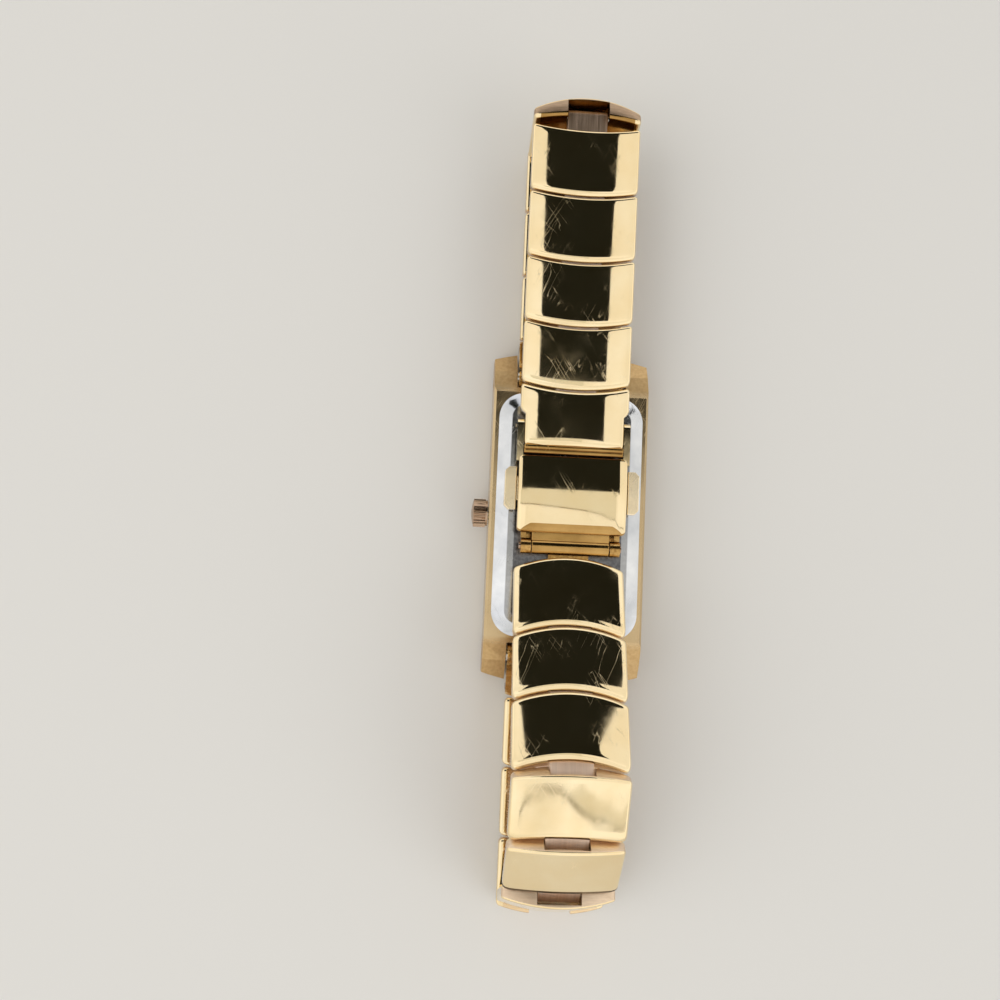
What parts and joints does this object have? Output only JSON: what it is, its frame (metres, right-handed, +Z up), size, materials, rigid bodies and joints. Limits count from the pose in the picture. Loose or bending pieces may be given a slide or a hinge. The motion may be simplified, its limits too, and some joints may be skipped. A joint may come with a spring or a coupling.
{
  "type": "bracelet watch",
  "caption": "Rectangular gold-tone watch on a folded bracelet of domed hinged links with a push-button clasp.",
  "frame": {"origin": "centre of the crystal's outer flat face, on which the watch lies face down", "axes": "+Z up towards the case back, +Y towards 12 o'clock, +X away from the crown"},
  "size_m": [0.0216, 0.0996, 0.0203],
  "materials": {
    "polished_gold": "polished gold plate with fine scratches",
    "rose_gold": "warm polished gold",
    "pale_gold": "pale polished gold",
    "back_steel": "satin stainless steel",
    "small_steel": "bright steel",
    "glass": "clear mineral glass",
    "gasket": "matte rubber",
    "dial_face": "satin champagne paint",
    "movement_metal": "satin brass",
    "plastic_ring": "matte plastic",
    "copper_coil": "lacquered copper wire",
    "board": "green circuit board"
  },
  "bodies": {
    "case": {"case_middle": "polished_gold", "case_back": "back_steel", "back_gasket": "gasket", "crystal": "glass", "crystal_gasket": "plastic_ring", "dial": "dial_face", "hour_markers": "pale_gold", "movement_ring": "plastic_ring", "movement_plate": "movement_metal", "movement_coil": "copper_coil", "circuit_board": "board", "battery": "small_steel", "battery_clamp": "small_steel", "crown_tube": "movement_metal", "spring_bars": "small_steel"},
    "setting": {"setting_lever": "small_steel"},
    "crown": {"crown": "rose_gold", "winding_stem": "small_steel"},
    "minute": {"minute_hand": "pale_gold", "cannon_pinion": "small_steel"},
    "hour": {"hour_hand": "pale_gold", "hour_wheel": "movement_metal"},
    "end_link_12": {"end_link_12": "polished_gold"},
    "link_12_2": {"link_12_2": "polished_gold"},
    "link_12_3": {"link_12_3": "polished_gold"},
    "link_12_4": {"link_12_4": "polished_gold"},
    "link_12_5": {"link_12_5": "polished_gold"},
    "link_12_6": {"link_12_6": "polished_gold"},
    "link_12_7": {"link_12_7": "polished_gold"},
    "link_12_8": {"link_12_8": "polished_gold"},
    "link_12_9": {"link_12_9": "polished_gold"},
    "catch_link": {"catch_link": "polished_gold"},
    "end_link_6": {"end_link_6": "polished_gold"},
    "link_6_2": {"link_6_2": "polished_gold"},
    "link_6_3": {"link_6_3": "polished_gold"},
    "link_6_4": {"link_6_4": "polished_gold"},
    "link_6_5": {"link_6_5": "polished_gold"},
    "link_6_6": {"link_6_6": "polished_gold"},
    "link_6_7": {"link_6_7": "polished_gold"},
    "link_6_8": {"link_6_8": "polished_gold"},
    "link_6_9": {"link_6_9": "polished_gold"},
    "link_6_10": {"link_6_10": "polished_gold"},
    "clasp": {"clasp_base": "polished_gold", "cover_hinge_pin": "rose_gold", "button_spring_left": "small_steel", "button_spring_right": "small_steel"},
    "cover": {"clasp_cover": "polished_gold"},
    "button_left": {"push_button_left": "pale_gold"},
    "button_right": {"push_button_right": "pale_gold"}
  },
  "joints": [
    {"name": "crown_pull", "type": "slide", "parent": "case", "child": "setting", "axis": [-1, 0, 0], "range_m": [0, 0.0009]},
    {"name": "crown_turn", "type": "hinge", "parent": "setting", "child": "crown", "pos_m": [-0.01, 0, 0.00352], "axis": [-1, 0, 0], "continuous": true},
    {"name": "minute_turn", "type": "hinge", "parent": "case", "child": "minute", "pos_m": [0, 0, 0.002], "axis": [0, 0, 1], "continuous": true},
    {"name": "hour_turn", "type": "hinge", "parent": "case", "child": "hour", "pos_m": [0, 0, 0.002], "axis": [0, 0, 1], "continuous": true},
    {"name": "lug_hinge_12", "type": "hinge", "parent": "case", "child": "end_link_12", "pos_m": [0, 0.0174, 0.003], "axis": [-1, 0, 0], "range_deg": [0, 15]},
    {"name": "link_12_2_hinge", "type": "hinge", "parent": "end_link_12", "child": "link_12_2", "pos_m": [0, 0.02135, 0.0019], "axis": [-1, 0, 0], "range_deg": [0, 8]},
    {"name": "link_12_3_hinge", "type": "hinge", "parent": "link_12_2", "child": "link_12_3", "pos_m": [0, 0.02985, 0.0019], "axis": [-1, 0, 0], "range_deg": [0, 8]},
    {"name": "link_12_4_hinge", "type": "hinge", "parent": "link_12_3", "child": "link_12_4", "pos_m": [0, 0.03835, 0.0019], "axis": [-1, 0, 0], "range_deg": [0, 8]},
    {"name": "link_12_5_hinge", "type": "hinge", "parent": "link_12_4", "child": "link_12_5", "pos_m": [0, 0.04685, 0.0019], "axis": [-1, 0, 0], "range_deg": [0, 84]},
    {"name": "link_12_6_hinge", "type": "hinge", "parent": "link_12_5", "child": "link_12_6", "pos_m": [0, 0.04876, 0.01018], "axis": [-1, 0, 0], "range_deg": [0, 113]},
    {"name": "link_12_7_hinge", "type": "hinge", "parent": "link_12_6", "child": "link_12_7", "pos_m": [0, 0.04047, 0.00977], "axis": [-1, 0, 0], "range_deg": [0, 8]},
    {"name": "link_12_8_hinge", "type": "hinge", "parent": "link_12_7", "child": "link_12_8", "pos_m": [0, 0.03238, 0.00937], "axis": [-1, 0, 0], "range_deg": [0, 8]},
    {"name": "link_12_9_hinge", "type": "hinge", "parent": "link_12_8", "child": "link_12_9", "pos_m": [0, 0.02449, 0.00898], "axis": [-1, 0, 0], "range_deg": [0, 8]},
    {"name": "catch_link_hinge", "type": "hinge", "parent": "link_12_9", "child": "catch_link", "pos_m": [0, 0.0168, 0.0086], "axis": [-1, 0, 0], "range_deg": [0, 5]},
    {"name": "lug_hinge_6", "type": "hinge", "parent": "case", "child": "end_link_6", "pos_m": [0, -0.0174, 0.003], "axis": [1, 0, 0], "range_deg": [0, 15]},
    {"name": "link_6_2_hinge", "type": "hinge", "parent": "end_link_6", "child": "link_6_2", "pos_m": [0, -0.02135, 0.0019], "axis": [1, 0, 0], "range_deg": [0, 8]},
    {"name": "link_6_3_hinge", "type": "hinge", "parent": "link_6_2", "child": "link_6_3", "pos_m": [0, -0.02985, 0.0019], "axis": [1, 0, 0], "range_deg": [0, 8]},
    {"name": "link_6_4_hinge", "type": "hinge", "parent": "link_6_3", "child": "link_6_4", "pos_m": [0, -0.03835, 0.0019], "axis": [1, 0, 0], "range_deg": [0, 8]},
    {"name": "link_6_5_hinge", "type": "hinge", "parent": "link_6_4", "child": "link_6_5", "pos_m": [0, -0.04685, 0.0019], "axis": [1, 0, 0], "range_deg": [0, 116]},
    {"name": "link_6_6_hinge", "type": "hinge", "parent": "link_6_5", "child": "link_6_6", "pos_m": [0, -0.04408, 0.00994], "axis": [1, 0, 0], "range_deg": [0, 38]},
    {"name": "link_6_7_hinge", "type": "hinge", "parent": "link_6_6", "child": "link_6_7", "pos_m": [0, -0.03782, 0.01538], "axis": [1, 0, 0], "range_deg": [0, 30]},
    {"name": "link_6_8_hinge", "type": "hinge", "parent": "link_6_7", "child": "link_6_8", "pos_m": [0, -0.03016, 0.01802], "axis": [1, 0, 0], "range_deg": [0, 49]},
    {"name": "link_6_9_hinge", "type": "hinge", "parent": "link_6_8", "child": "link_6_9", "pos_m": [0, -0.02287, 0.01497], "axis": [1, 0, 0], "range_deg": [0, 8]},
    {"name": "link_6_10_hinge", "type": "hinge", "parent": "link_6_9", "child": "link_6_10", "pos_m": [0, -0.01577, 0.012], "axis": [1, 0, 0], "range_deg": [0, 8]},
    {"name": "clasp_hinge", "type": "hinge", "parent": "link_6_10", "child": "clasp", "pos_m": [0, -0.00765, 0.0086], "axis": [1, 0, 0], "range_deg": [0, 12]},
    {"name": "cover_hinge", "type": "hinge", "parent": "clasp", "child": "cover", "pos_m": [0, -0.00405, 0.0089], "axis": [1, 0, 0], "range_deg": [0, 95]},
    {"name": "button_left_press", "type": "slide", "parent": "clasp", "child": "button_left", "axis": [1, 0, 0], "range_m": [0, 0.0007], "stiffness_N_per_m": 3000, "springref_m": -0.0003, "deforming": ["button_spring_left"]},
    {"name": "button_right_press", "type": "slide", "parent": "clasp", "child": "button_right", "axis": [-1, 0, 0], "range_m": [0, 0.0007], "stiffness_N_per_m": 3000, "springref_m": -0.0003, "deforming": ["button_spring_right"]}
  ],
  "couplings": [
    {"joint": "hour_turn", "follows": "minute_turn", "ratio": 0.083333}
  ]
}
